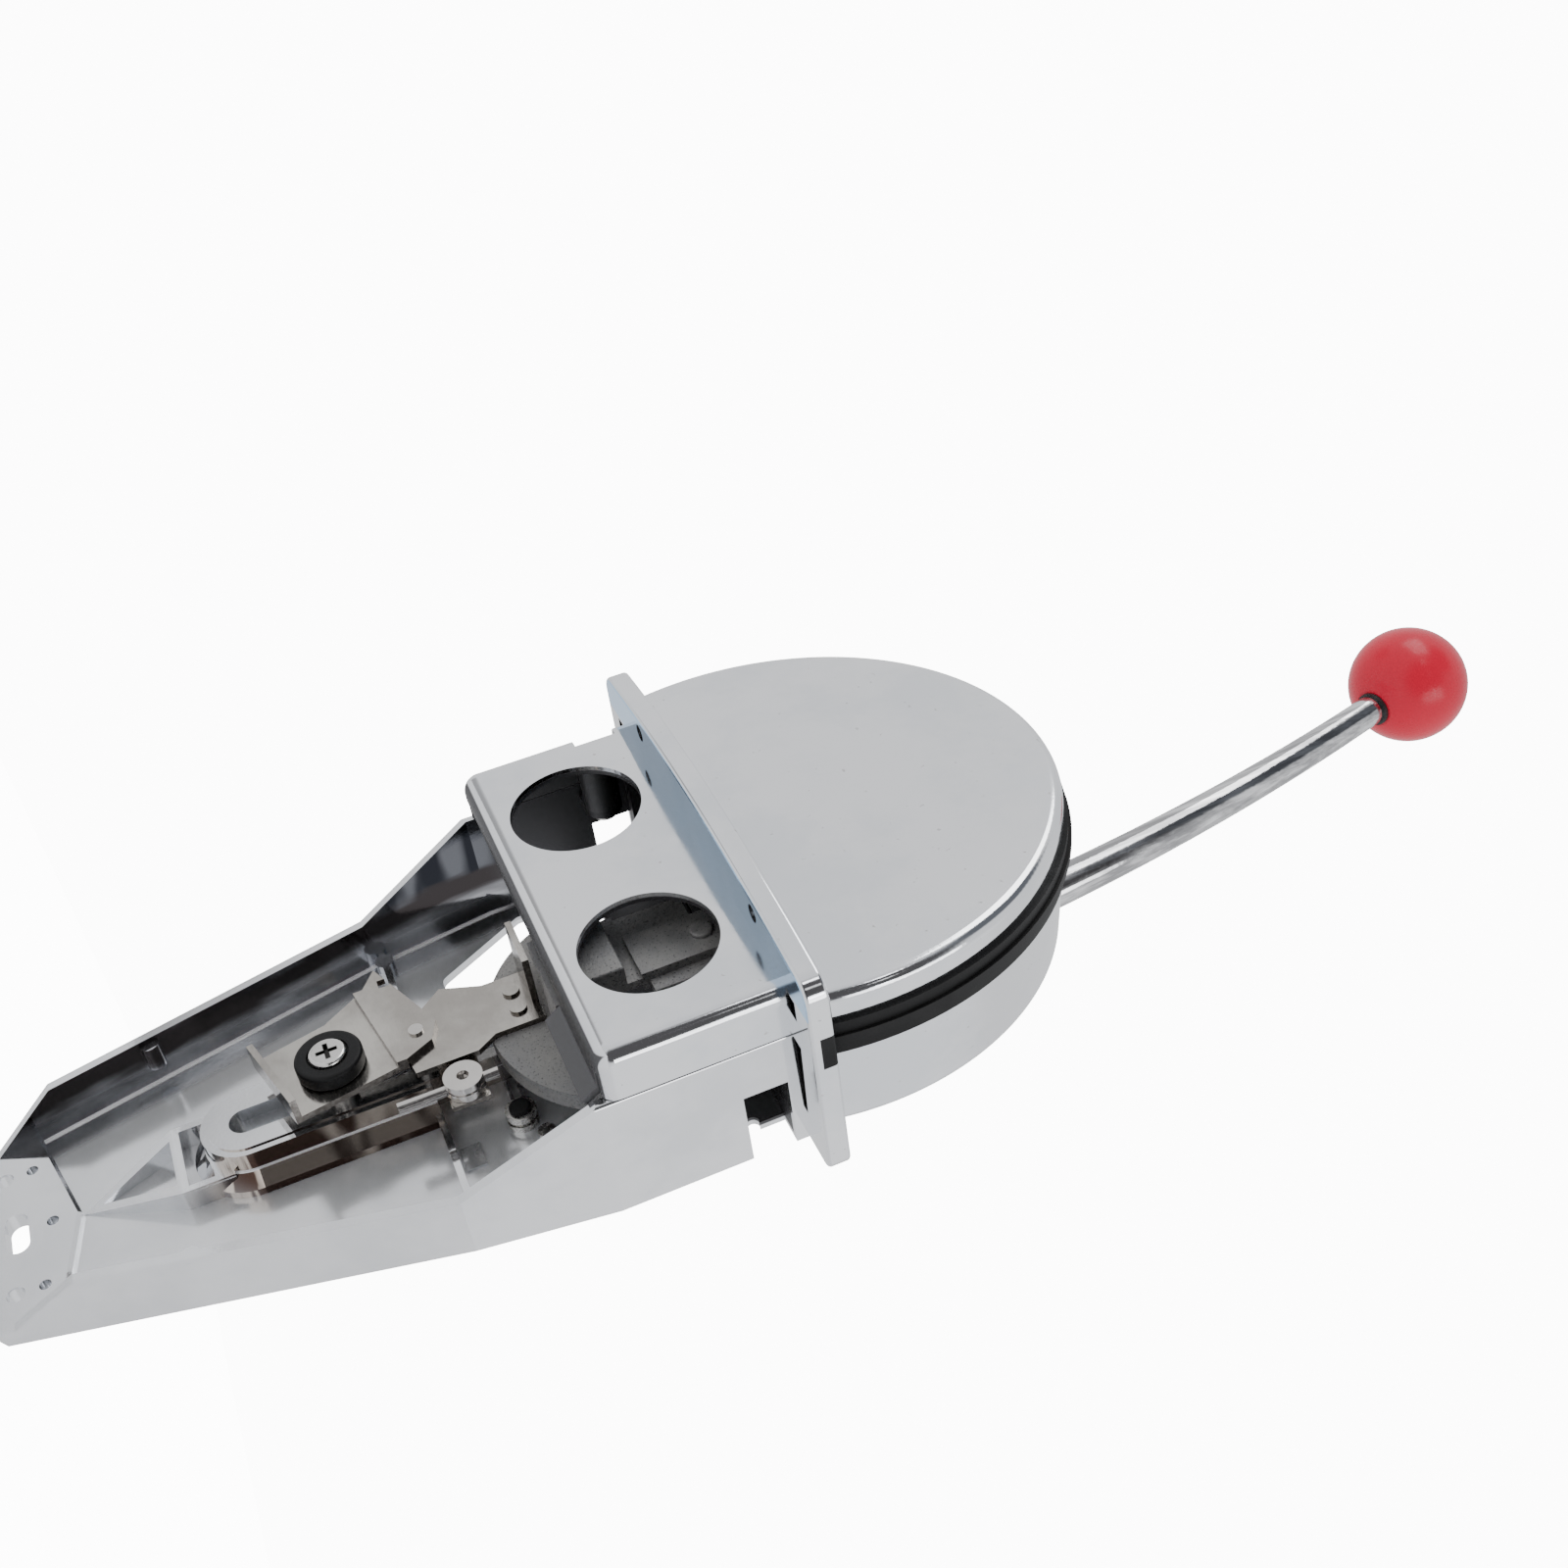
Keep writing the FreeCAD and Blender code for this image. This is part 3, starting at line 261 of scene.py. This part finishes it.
def rolled_grain_group():
    """Lines left by rolling, drawing or turning; they run long where Stretch is small. On the lever rod the
    Streak lines darken the colour as painted reflection streaks.
    """
    group, given, result = new_group("rolled grain", ["Height", "Streak"], Stretch=(1.0, 1.0, 1.0))
    stretched = vector_step(group, "MULTIPLY", given["Coordinates"], given["Stretch"])
    lines = noise(group, stretched, scale=300.0, detail=4.0, roughness=0.7)
    group.links.new(lines, result["Height"])
    group.links.new(spread(group, lines, 0.35, 0.7), result["Streak"])
    return group


def sheared_edge_group():
    """1 on the cut edges of the stamped plates, part on the slope of a fold, where it is painted shade, 0 on
    their faces.
    """
    group, given, result = new_group("sheared edge", ["Edge"])
    flatness = number_step(group, "ABSOLUTE", parts_of(group, surface_normal(group))["Y"])
    edge = falling(group, flatness, 0.68, 0.92)
    torn = noise(group, given["Coordinates"], scale=700.0, detail=2.0)
    group.links.new(product(group, edge, spread(group, torn, 0.3, 0.6, 0.75, 1.0)), result["Edge"])
    return group


def cross_recess_group():
    """1 in the cross recess of the guide screw's head."""
    group, given, result = new_group("cross recess", ["Recess"])
    centred = vector_step(group, "ADD", given["Coordinates"], (0, 0, guide_screw_drop))
    off_middle = parts_of(group, vector_step(group, "ABSOLUTE", centred))
    arms = [product(group, falling(group, off_middle[along], *recess_arm_end),
                    falling(group, off_middle[across], *recess_arm_side))
            for along, across in ("XZ", "ZX")]
    group.links.new(largest(group, *arms), result["Recess"])
    return group


def cast_grain_group():
    """Height of the rough casting skin on the cast arm, and its dark pits."""
    group, given, result = new_group("cast grain", ["Height", "Pits"])
    sand = noise(group, given["Coordinates"], scale=1400.0, detail=2.0, roughness=0.6)
    patch = noise(group, given["Coordinates"], scale=120.0, detail=3.0)
    patch_share = 0.6
    group.links.new(number_step(group, "MULTIPLY_ADD", patch, patch_share, sand), result["Height"])
    group.links.new(falling(group, sand, 0.30, 0.42), result["Pits"])
    return group


def casting_inside_group():
    """Masks of the two housing castings: their inner faces, which take near-black painted shade, and the flange's
    underside, which takes a painted blue reflection.
    """
    group, given, result = new_group("casting inside", ["Inside", "Underside"])
    place = given["Coordinates"]
    x, y, z = parts_of(group, place)
    oval = vector_step(group, "MULTIPLY_ADD", place, (1 / housing_inner_width, 0, 1 / housing_inner_height),
                       (0, 0, -shaft_height / housing_inner_height))
    within = falling(group, vector_step(group, "LENGTH", oval), *housing_inner_rim)
    past_front = spread(group, y, housing_inner_front, housing_inner_front + mask_edge)
    before_back = falling(group, y, housing_inner_back - mask_edge, housing_inner_back)
    over_flange = spread(group, z, *flange_top)
    group.links.new(product(group, within, past_front, before_back, over_flange), result["Inside"])
    downward = falling(group, parts_of(group, surface_normal(group))["Z"], -0.9, -0.7)
    at_deck = falling(group, z, *flange_underside)
    in_front = falling(group, y, housing_inner_front, housing_inner_front + 0.001)
    group.links.new(product(group, downward, at_deck, in_front), result["Underside"])
    return group


def frame_inside_group():
    """1 deep under the flange, where the frame's faces get near-black painted shade and stay dull, fading out
    toward the open tray.
    """
    group, given, result = new_group("frame inside", ["Inside"], Drop=frame_inside_drop)
    x, y, z = parts_of(group, given["Coordinates"])
    upward = spread(group, number_step(group, "ADD", z, given["Drop"]), 0.0, frame_inside_fade)
    within = falling(group, number_step(group, "ABSOLUTE", x),
                     frame_inner_half_width, frame_inner_half_width + mask_edge)
    before = falling(group, y, frame_inner_back, frame_inner_back + mask_edge)
    behind = spread(group, y, access_inner_front, access_inner_front + mask_edge)
    group.links.new(product(group, upward, within, before, behind), result["Inside"])
    return group


def tray_painted_light_group():
    """Masks of the open tray: the guide boss's sides with their warm painted reflection streaks, the satin floor,
    the far wall with its painted shading, and the painted highlight line where that wall meets the floor."""
    group, given, result = new_group(
        "tray painted light", ["Warm", "Depth", "Satin", "Far Wall", "High Wall", "Shade", "Bright Line"])
    place = given["Coordinates"]
    normal = surface_normal(group)
    x, y, z = parts_of(group, place)
    facing = parts_of(group, normal)

    from_boss = vector_step(group, "MULTIPLY_ADD", place, tuple(1 / r for r in boss_reach),
                            tuple(-m / r for m, r in zip(boss_middle, boss_reach)))
    near_boss = falling(group, vector_step(group, "LENGTH", from_boss), *boss_fade)
    outside_slot = spread(group, number_step(group, "ABSOLUTE", x), *boss_slot_side)
    flank = spread(group, facing["Y"], -0.88, -0.78)
    ledge = product(group, spread(group, y, *ledge_near), falling(group, y, *ledge_far))
    before_floor = falling(group, y, *tray_floor_back)
    group.links.new(product(group, near_boss, largest(group, flank, ledge), outside_slot, before_floor),
                    result["Warm"])

    # Bands that bend with the surface's normal, like reflections; they drive the painted reflection streaks and
    # the high wall's painted shading.
    turned = vector_step(group, "MULTIPLY", normal, (0.055, 0.0, 0.055))
    along = vector_step(group, "MULTIPLY_ADD", place, (0.25, 0.25, 0.9), turned)
    bands = noise(group, along, scale=75.0, detail=2.0)
    group.links.new(spread(group, bands, 0.48, 0.60), result["Depth"])

    half_widths = [number_step(group, "MULTIPLY_ADD", z, slope, half_width - slope * height)
                   for half_width, height, slope in (upper_wall, lower_wall)]
    from_wall = number_step(group, "ADD", x, number_step(group, "MINIMUM", *half_widths))
    floor = product(group, spread(group, y, *tray_floor), falling(group, facing["Y"], -0.95, -0.8))
    group.links.new(product(group, floor, spread(group, from_wall, 0.005, 0.011)), result["Satin"])
    wall = product(group, spread(group, facing["X"], 0.35, 0.6), falling(group, from_wall, 0.004, 0.008))
    group.links.new(wall, result["Far Wall"])

    # A painted highlight line where the far wall meets the floor and along the boss's ledge.
    wall_foot = product(group, wall, spread(group, y, *far_wall_foot))
    floor_edge = product(group, floor, falling(group, from_wall, 0.0007, 0.0011))
    ledge_line = product(group, near_boss, outside_slot, falling(group, y, *ledge_line_far),
                         spread(group, y, *ledge_line_near))
    group.links.new(largest(group, wall_foot, floor_edge, ledge_line), result["Bright Line"])

    streaks = noise(group, vector_step(group, "MULTIPLY", place, (0.4, 1.6, 0.4)),
                    scale=48.0, detail=3.0, roughness=0.6)
    streak_depth = 0.020
    from_top = number_step(group, "MULTIPLY_ADD", streaks, streak_depth,
                           number_step(group, "SUBTRACT", y, far_wall_top))
    group.links.new(spread(group, from_top, 0.021, 0.030), result["Shade"])
    group.links.new(falling(group, from_top, 0.011, 0.015), result["High Wall"])
    return group


casting_ripple = casting_ripple_group()
handling_marks = handling_marks_group()
rolled_grain = rolled_grain_group()
casting_inside = casting_inside_group()
frame_inside = frame_inside_group()
tray_painted_light = tray_painted_light_group()
cast_grain = cast_grain_group()
cut_edge_and_fold_shade = sheared_edge_group()
cross_recess = cross_recess_group()


class Finish:
    """One material with its shader, coordinates and a place for each shared effect."""

    def __init__(self, name, metallic=0.0, roughness=0.4, coat=0.0, specular=None):
        self.material = bpy.data.materials.new(name)
        self.material.use_nodes = True
        self.tree = self.material.node_tree
        self.shader = self.tree.nodes["Principled BSDF"]
        self.shader.inputs["Metallic"].default_value = metallic
        self.shader.inputs["Roughness"].default_value = roughness
        self.shader.inputs["Coat Weight"].default_value = coat
        self.shader.inputs["Coat Roughness"].default_value = 0.05
        if specular is not None:
            self.shader.inputs["Specular IOR Level"].default_value = specular
        self.coordinates = self.tree.nodes.new("ShaderNodeTexCoord").outputs["Object"]

    def effect(self, group, **values):
        """The outputs of a shared effect, placed with this finish's own values."""
        node = self.tree.nodes.new("ShaderNodeGroup")
        node.node_tree = group
        for label, value in values.items():
            node.inputs[label].default_value = value
        self.tree.links.new(self.coordinates, node.inputs["Coordinates"])
        return node.outputs

    def mix(self, factor, first, second):
        return colour_mix(self.tree, factor, first, second)

    def blend(self, factor, low, high):
        return spread(self.tree, factor, 0.0, 1.0, low, high)

    def bump(self, height, strength, distance):
        node = self.tree.nodes.new("ShaderNodeBump")
        node.inputs["Strength"].default_value = strength
        node.inputs["Distance"].default_value = distance
        self.tree.links.new(height, node.inputs["Height"])
        self.tree.links.new(node.outputs["Normal"], self.shader.inputs["Normal"])

    def feed(self, label, output):
        self.tree.links.new(output, self.shader.inputs[label])


# Finishes of this control

raw_roughness = 0.5


def chrome_casting(name, inside, underside=None, **reach):
    """Chromed casting; the inside effect masks its inner faces, painted near-black as shade and made rough, and
    the underside, tinted blue as a painted reflection.
    """
    finish = Finish(name, metallic=1.0)
    marks = finish.effect(handling_marks, Amount=0.8)
    wave = finish.effect(casting_ripple, Scale=1.0)
    masks = finish.effect(inside, **reach)
    plated = finish.mix(marks["Smudge"], *housing_plating)
    plated = finish.mix(marks["Specks"], plated, plating_speck)
    # The flange's underside is tinted blue as a painted reflection.
    if underside:
        plated = finish.mix(masks["Underside"], plated, underside)
    # The inside faces are painted near-black as shade.
    finish.feed("Base Color", finish.mix(masks["Inside"], plated, shaded_inside_casting))
    polish = finish.blend(marks["Smudge"], 0.08, 0.15)
    finish.feed("Roughness", finish.mix(masks["Inside"], polish, raw_roughness))
    finish.bump(wave["Height"], strength=0.35, distance=0.0006)
    return finish.material


def frame_chrome():
    finish = Finish("polished chromed frame")
    marks = finish.effect(handling_marks, Amount=0.8)
    wave = finish.effect(casting_ripple, Scale=1.0)
    shaded_inside = finish.effect(frame_inside)["Inside"]
    tray = finish.effect(tray_painted_light)
    high_wall = finish.mix(tray["Depth"], *high_wall_shading)
    wall = finish.mix(tray["High Wall"], finish.mix(tray["Shade"], *far_wall_shading), high_wall)
    plated = finish.mix(marks["Smudge"], *frame_plating)
    plated = finish.mix(tray["Far Wall"], plated, wall)
    # The guide boss's sides get warm painted reflection streaks.
    plated = finish.mix(tray["Warm"], plated, finish.mix(tray["Depth"], *warm_reflection_streaks))
    # The painted highlight line, made less metallic so it reads as lit.
    plated = finish.mix(tray["Bright Line"], plated, painted_highlight_line)
    # Deep under the flange the frame is painted near-black as shade.
    finish.feed("Base Color", finish.mix(shaded_inside, plated, shaded_inside_frame))
    metal = finish.mix(tray["Satin"], 0.96, 0.62)
    finish.feed("Metallic", finish.mix(tray["Bright Line"], metal, 0.35))
    polish = finish.blend(marks["Smudge"], 0.05, 0.12)
    finish.feed("Roughness", finish.mix(shaded_inside, finish.mix(tray["Satin"], polish, 0.16), raw_roughness))
    finish.bump(wave["Height"], strength=0.35, distance=0.0006)
    return finish.material


def bright_rod_chrome():
    finish = Finish("bright rod chrome", metallic=1.0)
    marks = finish.effect(handling_marks, Amount=0.6)
    wave = finish.effect(casting_ripple, Scale=0.6)
    reflection_lines = finish.effect(rolled_grain, Stretch=(0.9, 0.9, 0.035))
    bright = finish.mix(marks["Smudge"], *rod_chrome)
    # The grain lines darken the rod's colour in streaks: painted reflections of a round chrome rod.
    finish.feed("Base Color", finish.mix(reflection_lines["Streak"], rod_reflection_streak, bright))
    finish.feed("Roughness", finish.blend(marks["Smudge"], 0.06, 0.14))
    finish.bump(wave["Height"], strength=0.2, distance=0.0004)
    return finish.material


def red_knob_gloss():
    finish = Finish("red knob gloss", roughness=0.3, coat=0.05, specular=0.25)
    marks = finish.effect(handling_marks, Amount=0.7)
    wave = finish.effect(casting_ripple, Scale=1.2)
    finish.feed("Base Color", finish.mix(marks["Smudge"], *knob_red))
    finish.feed("Roughness", finish.blend(marks["Smudge"], 0.26, 0.4))
    finish.bump(wave["Height"], strength=0.2, distance=0.0004)
    return finish.material


def black_rubber_finish():
    finish = Finish("black rubber", roughness=0.6, specular=0.25)
    marks = finish.effect(handling_marks, Amount=0.8)
    wave = finish.effect(casting_ripple, Scale=3.0)
    finish.feed("Base Color", finish.mix(marks["Smudge"], *rubber_black))
    finish.feed("Roughness", finish.blend(marks["Smudge"], 0.5, 0.72))
    finish.bump(wave["Height"], strength=0.3, distance=0.0004)
    return finish.material


def black_plastic_finish():
    finish = Finish("black plastic", roughness=0.45)
    marks = finish.effect(handling_marks, Amount=0.8)
    wave = finish.effect(casting_ripple, Scale=4.0)
    finish.feed("Base Color", finish.mix(marks["Smudge"], *plastic_black))
    finish.bump(wave["Height"], strength=0.2, distance=0.0003)
    return finish.material


def dark_casting_finish():
    finish = Finish("dark cast arm", metallic=0.45)
    marks = finish.effect(handling_marks, Amount=1.0)
    skin = finish.effect(cast_grain)
    aged = finish.mix(marks["Smudge"], *cast_grey)
    finish.feed("Base Color", finish.mix(skin["Pits"], aged, cast_pit))
    finish.feed("Roughness", finish.blend(marks["Smudge"], 0.42, 0.62))
    finish.bump(skin["Height"], strength=0.5, distance=0.0003)
    return finish.material


def plated_metal(name, colours, polish, stretch, edge=None, recess=None):
    """Rolled, turned or stamped metal; polish is its roughness between and on the streaks."""
    finish = Finish(name, metallic=1.0)
    marks = finish.effect(handling_marks, Amount=0.9)
    grain = finish.effect(rolled_grain, Stretch=stretch)
    plated = finish.mix(marks["Smudge"], *colours)
    if edge:
        # Cut edges and fold slopes get the dark colour; on the fold slopes it is painted shade.
        plated = finish.mix(finish.effect(cut_edge_and_fold_shade)["Edge"], plated, edge)
    if recess:
        plated = finish.mix(finish.effect(cross_recess)["Recess"], plated, recess)
    finish.feed("Base Color", plated)
    finish.feed("Roughness", finish.blend(grain["Streak"], *polish))
    finish.bump(grain["Height"], strength=0.05, distance=0.0001)
    return finish.material


def finish_nodes():
    housing_chrome = chrome_casting("satin chromed housing", casting_inside, flange_underside_blue_reflection)
    cap_chrome = chrome_casting("satin chromed cap", frame_inside, Drop=cap_inside_drop)
    tray_chrome = frame_chrome()
    rod = bright_rod_chrome()
    red_gloss = red_knob_gloss()
    rubber = black_rubber_finish()
    plastic = black_plastic_finish()
    cast_arm = dark_casting_finish()
    stamped = plated_metal("warm stamped steel", stamped_steel, (0.12, 0.26), (1.0, 1.0, 6.0), edge=edge_and_fold_shade_steel)
    screws = plated_metal("plated screws", screw_steel, (0.2, 0.34), (2.0, 2.0, 2.0))
    cross_head = plated_metal("cross-head screw", cross_head_steel, (0.16, 0.3), (2.0, 2.0, 2.0),
                              recess=recess_shadow)
    turned = plated_metal("turned steel", turned_steel, (0.14, 0.26), (1.0, 8.0, 1.0))
    bronze = plated_metal("plain bronze", bush_bronze, (0.24, 0.4), (1.0, 6.0, 1.0))
    wearing = {
        housing_chrome: ["housing_shell", "housing_cover"],
        cap_chrome: ["access_cover"],
        tray_chrome: ["frame_tray"],
        rod: ["lever_rod", "lever_hub", "hub_cap"],
        red_gloss: ["knob"],
        plastic: ["knob_collar", "brake_pad"],
        rubber: ["rim_seal", "shaft_seal", "guide_bush", "stop_buffer"],
        cast_arm: ["yoke_arm", "yoke_rivet"],
        stamped: ["link_plate", "slide_bracket", "crank", "link_rivets"],
        screws: ["cover_screws", "access_cover_screws", "frame_screws", "hub_set_screw", "brake_screw",
                 "brake_washers", "floor_screw", "stop_post", "pin_clip", "trunnion_clip", "shaft_key"],
        cross_head: ["guide_screw"],
        turned: ["lever_shaft", "crank_pin", "crank_roller", "guide_sleeve", "guide_pin", "trunnion_barrel",
                 "cable_rod"],
        bronze: ["front_shaft_bush", "back_shaft_bush"],
    }
    for material, names in wearing.items():
        for name in names:
            for slot in nodes[name].material_slots:
                slot.material = material


# Studio: white to the eye all round, while the plating reflects a pale room with these cards in it.
# Each card has its direction, the angles in degrees where it is full and where it ends, and its colour.

white_level = 12.0
room_white = (1.0, 1.01, 1.03)
studio_cards = [
    ((-0.75, -0.62, 0.30), 14, 46, (1.10, 1.105, 1.12)),
    ((-0.75, -0.62, -0.28), 8, 15, (0.46, 0.46, 0.47)),
    ((0.75, 0.62, 0.24), 15, 45, (1.24, 1.25, 1.27)),
    ((0.74, -0.64, 0.05), 26, 46, (0.10, 0.098, 0.102)),
    ((0.30, -0.90, 0.24), 2, 6, (5.0, 5.0, 5.1)),
    ((0.93, -0.24, 0.24), 2, 6, (4.5, 4.5, 4.6)),
    ((0.66, -0.72, 0.24), 1, 4, (1.6, 1.6, 1.6)),
    ((0.2, -0.63, 0.75), 14, 26, (0.15, 0.16, 0.18)),
]


def pale_floor():
    half_size = 0.42
    floor_gap = 0.0005
    level = cad_box[0][2] - floor_gap
    corners = [(half_size * x, half_size * y, level) for x, y in ((-1, -1), (1, -1), (1, 1), (-1, 1))]
    mesh = bpy.data.meshes.new("studio_floor")
    mesh.from_pydata(corners, [], [(0, 1, 2, 3)])
    floor = bpy.data.objects.new("studio_floor", mesh)
    bpy.context.scene.collection.objects.link(floor)
    finish = Finish("pale floor", roughness=0.8)
    marks = finish.effect(handling_marks, Amount=0.5)
    finish.feed("Base Color", finish.mix(marks["Smudge"], *floor_white))
    finish.shader.inputs["Emission Color"].default_value = (1, 1, 1, 1)
    seen = finish.tree.nodes.new("ShaderNodeLightPath").outputs["Is Camera Ray"]
    finish.feed("Emission Strength", finish.blend(seen, 0.1, white_level))
    mesh.materials.append(finish.material)


def studio_world():
    world = bpy.data.worlds.new("studio")
    world.use_nodes = True
    bpy.context.scene.world = world
    tree = world.node_tree
    tree.nodes.clear()
    seen = tree.nodes.new("ShaderNodeBackground")
    seen.inputs["Color"].default_value = (1, 1, 1, 1)
    seen.inputs["Strength"].default_value = white_level
    lit = tree.nodes.new("ShaderNodeBackground")
    lit.inputs["Strength"].default_value = 1.0
    place = tree.nodes.new("ShaderNodeTexCoord").outputs["Generated"]
    cloud = noise(tree, place, scale=2.2, detail=2.0, output="Color")
    bend = 0.24
    offset = vector_step(tree, "MULTIPLY_ADD", cloud, (bend, bend, bend), (-bend / 2, -bend / 2, -bend / 2))
    direction = vector_step(tree, "NORMALIZE", vector_step(tree, "ADD", place, offset))
    room = room_white
    for middle, full, end, colour in studio_cards:
        toward = vector_step(tree, "DOT_PRODUCT", direction, Vector(middle).normalized())
        card = spread(tree, toward, math.cos(math.radians(end)), math.cos(math.radians(full)))
        room = colour_mix(tree, card, room, colour)
    tree.links.new(room, lit.inputs["Color"])
    shown = tree.nodes.new("ShaderNodeMixShader")
    camera_ray = tree.nodes.new("ShaderNodeLightPath").outputs["Is Camera Ray"]
    fill(tree, shown.inputs, (camera_ray, lit.outputs[0], seen.outputs[0]))
    tree.links.new(shown.outputs[0], tree.nodes.new("ShaderNodeOutputWorld").inputs[0])


def softbox(name, place, width, height, power):
    """A rectangular lamp that faces the control."""
    data = bpy.data.lights.new(name, "AREA")
    data.shape = "RECTANGLE"
    data.size = width
    data.size_y = height
    data.energy = power
    light = bpy.data.objects.new(name, data)
    bpy.context.scene.collection.objects.link(light)
    aim = (-Vector(place)).to_track_quat("-Z", "Y")
    light.matrix_world = Matrix.Translation(place) @ aim.to_matrix().to_4x4()


place_camera()
finish_nodes()
pale_floor()
studio_world()
softbox("key_softbox", (-0.5, -1.3, 0.9), width=1.0, height=0.7, power=9.0)
softbox("side_softbox", (1.3, -0.1, 0.5), width=0.5, height=1.0, power=5.0)
